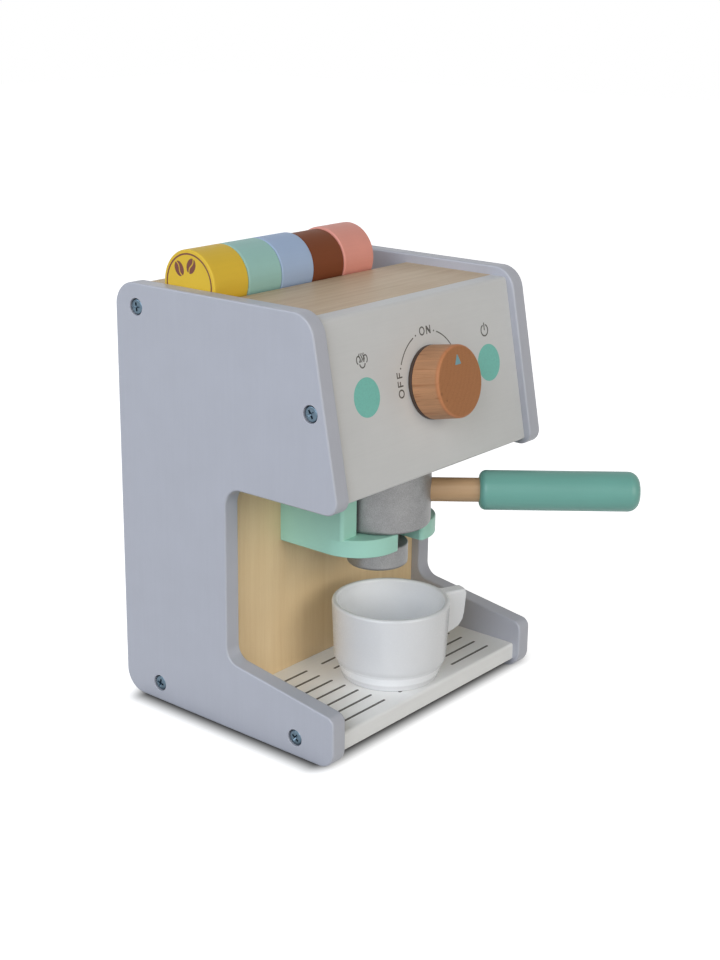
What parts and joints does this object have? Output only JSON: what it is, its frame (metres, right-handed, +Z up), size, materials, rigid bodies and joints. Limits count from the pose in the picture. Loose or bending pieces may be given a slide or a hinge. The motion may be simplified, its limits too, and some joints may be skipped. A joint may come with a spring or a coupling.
{
  "type": "toy coffee maker",
  "caption": "Wooden play coffee maker with side panels, sloped front panel and turning knob, a fork with a lift-out filter holder, a trough of capsules and a cup on a tray.",
  "frame": {"origin": "on the floor, below the middle of the casing", "axes": "+X to the right seen from the front, -Y to the front, +Z up"},
  "size_m": [0.1748, 0.2129, 0.2426],
  "materials": {
    "grey_paint": "satin paint",
    "white_paint": "satin paint",
    "plain_wood": "clear matt lacquer",
    "mint_paint": "satin paint",
    "oiled_beech": "oiled",
    "dowel_wood": "plain turned",
    "silver_paint": "metallic paint",
    "green_paint": "satin paint",
    "cup_white": "satin paint",
    "yellow_paint": "satin paint",
    "pale_mint_paint": "satin paint",
    "blue_paint": "satin paint",
    "brown_paint": "satin paint",
    "pink_paint": "satin paint",
    "zinc_steel": "zinc plated",
    "washer_plastic": "matt"
  },
  "bodies": {
    "casing": {"left_side_panel": "grey_paint", "right_side_panel": "grey_paint", "tray_board": "white_paint", "bay_board": "plain_wood", "back_board": "plain_wood", "top_board": "plain_wood", "capsule_shelf": "plain_wood", "front_panel": "white_paint", "fork_plate": "mint_paint", "bracket_block": "mint_paint", "left_panel_screws": "zinc_steel", "right_panel_screws": "zinc_steel", "bracket_screws": "zinc_steel", "bay_dowels": "dowel_wood", "top_dowels": "dowel_wood", "shelf_dowels": "dowel_wood"},
    "turning_knob": {"knob": "oiled_beech", "knob_washer": "washer_plastic", "knob_screw": "zinc_steel", "screw_washer": "zinc_steel"},
    "spout_slider": {"spout": "silver_paint"},
    "filter_holder": {"filter_basket": "silver_paint", "handle_dowel": "dowel_wood", "grip": "green_paint"},
    "cup": {"cup_body": "cup_white", "cup_ear": "cup_white"},
    "yellow_capsule": {"capsule_yellow": "yellow_paint"},
    "mint_capsule": {"capsule_mint": "pale_mint_paint"},
    "blue_capsule": {"capsule_blue": "blue_paint"},
    "brown_capsule": {"capsule_brown": "brown_paint"},
    "pink_capsule": {"capsule_pink": "pink_paint"}
  },
  "joints": [
    {"name": "knob_turn", "type": "hinge", "parent": "casing", "child": "turning_knob", "pos_m": [0.0014, -0.06194, 0.17748], "axis": [0, -0.9816, 0.1908], "continuous": true},
    {"name": "holder_slide", "type": "slide", "parent": "casing", "child": "spout_slider", "axis": [0, -1, 0], "range_m": [0, 0.06]},
    {"name": "holder_swing", "type": "hinge", "parent": "spout_slider", "child": "filter_holder", "pos_m": [0, -0.0335, 0.0988], "axis": [0, 0, 1], "range_deg": [-104, 25]},
    {"name": "cup_slide", "type": "slide", "parent": "casing", "child": "cup", "axis": [0, -1, 0], "range_m": [0, 0.08]},
    {"name": "yellow_lift", "type": "slide", "parent": "casing", "child": "yellow_capsule", "axis": [0, 0, 1], "range_m": [0, 0.06]},
    {"name": "mint_lift", "type": "slide", "parent": "casing", "child": "mint_capsule", "axis": [0, 0, 1], "range_m": [0, 0.06]},
    {"name": "blue_lift", "type": "slide", "parent": "casing", "child": "blue_capsule", "axis": [0, 0, 1], "range_m": [0, 0.06]},
    {"name": "brown_lift", "type": "slide", "parent": "casing", "child": "brown_capsule", "axis": [0, 0, 1], "range_m": [0, 0.06]},
    {"name": "pink_lift", "type": "slide", "parent": "casing", "child": "pink_capsule", "axis": [0, 0, 1], "range_m": [0, 0.06]}
  ]
}
